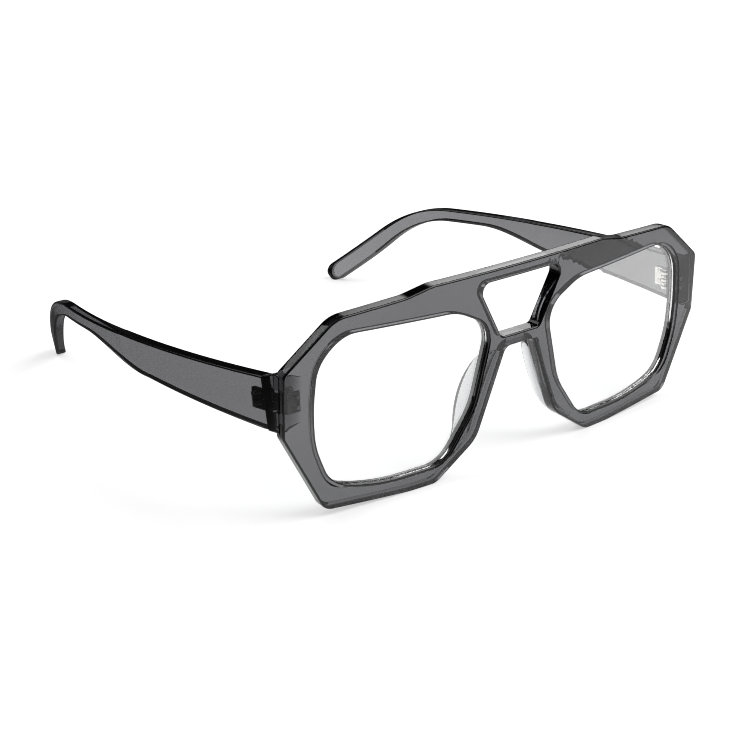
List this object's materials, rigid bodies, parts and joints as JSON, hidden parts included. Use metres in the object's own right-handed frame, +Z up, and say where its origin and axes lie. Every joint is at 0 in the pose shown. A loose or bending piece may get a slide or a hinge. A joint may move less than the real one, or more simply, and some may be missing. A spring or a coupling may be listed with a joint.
{
  "type": "double-bridge eyeglasses",
  "caption": "Open spectacles with an angular clear-grey plastic front, double bridge with trapezoid gap, clear lenses, glued nose pads and wide temples folding on barrel hinges",
  "frame": {"origin": "middle of the whole object's footprint, on the surface it rests on", "axes": "+Z up, -Y the way the wearer looks, +X towards the wearer's left"},
  "size_m": [0.1542, 0.1404, 0.0538],
  "materials": {
    "smoke_plastic": "polished see-through smoke-grey acetate",
    "clear_lens": "clear optical plastic",
    "clear_pad": "clear moulded plastic",
    "hinge_metal": "polished nickel silver",
    "screw_metal": "bright stainless steel"
  },
  "bodies": {
    "front": {"front_frame": "smoke_plastic", "lens_left": "clear_lens", "lens_right": "clear_lens", "nose_pad_left": "clear_pad", "nose_pad_right": "clear_pad", "front_hinge_leaf_left": "hinge_metal", "front_hinge_leaf_right": "hinge_metal", "front_rivet_upper_left": "screw_metal", "front_rivet_upper_right": "screw_metal", "front_rivet_lower_left": "screw_metal", "front_rivet_lower_right": "screw_metal"},
    "left_temple": {"temple_left": "smoke_plastic", "temple_hinge_leaf_left": "hinge_metal", "hinge_screw_left": "screw_metal", "temple_rivet_upper_left": "screw_metal", "temple_rivet_lower_left": "screw_metal"},
    "right_temple": {"temple_right": "smoke_plastic", "temple_hinge_leaf_right": "hinge_metal", "hinge_screw_right": "screw_metal", "temple_rivet_upper_right": "screw_metal", "temple_rivet_lower_right": "screw_metal"}
  },
  "joints": [
    {"name": "temple_fold_left", "type": "hinge", "parent": "front", "child": "left_temple", "pos_m": [0.0689, -0.05784, 0.031], "axis": [0, 0.0935, 0.9956], "range_deg": [0, 82]},
    {"name": "temple_fold_right", "type": "hinge", "parent": "front", "child": "right_temple", "pos_m": [-0.0689, -0.05784, 0.031], "axis": [0, -0.0935, -0.9956], "range_deg": [0, 75]}
  ]
}
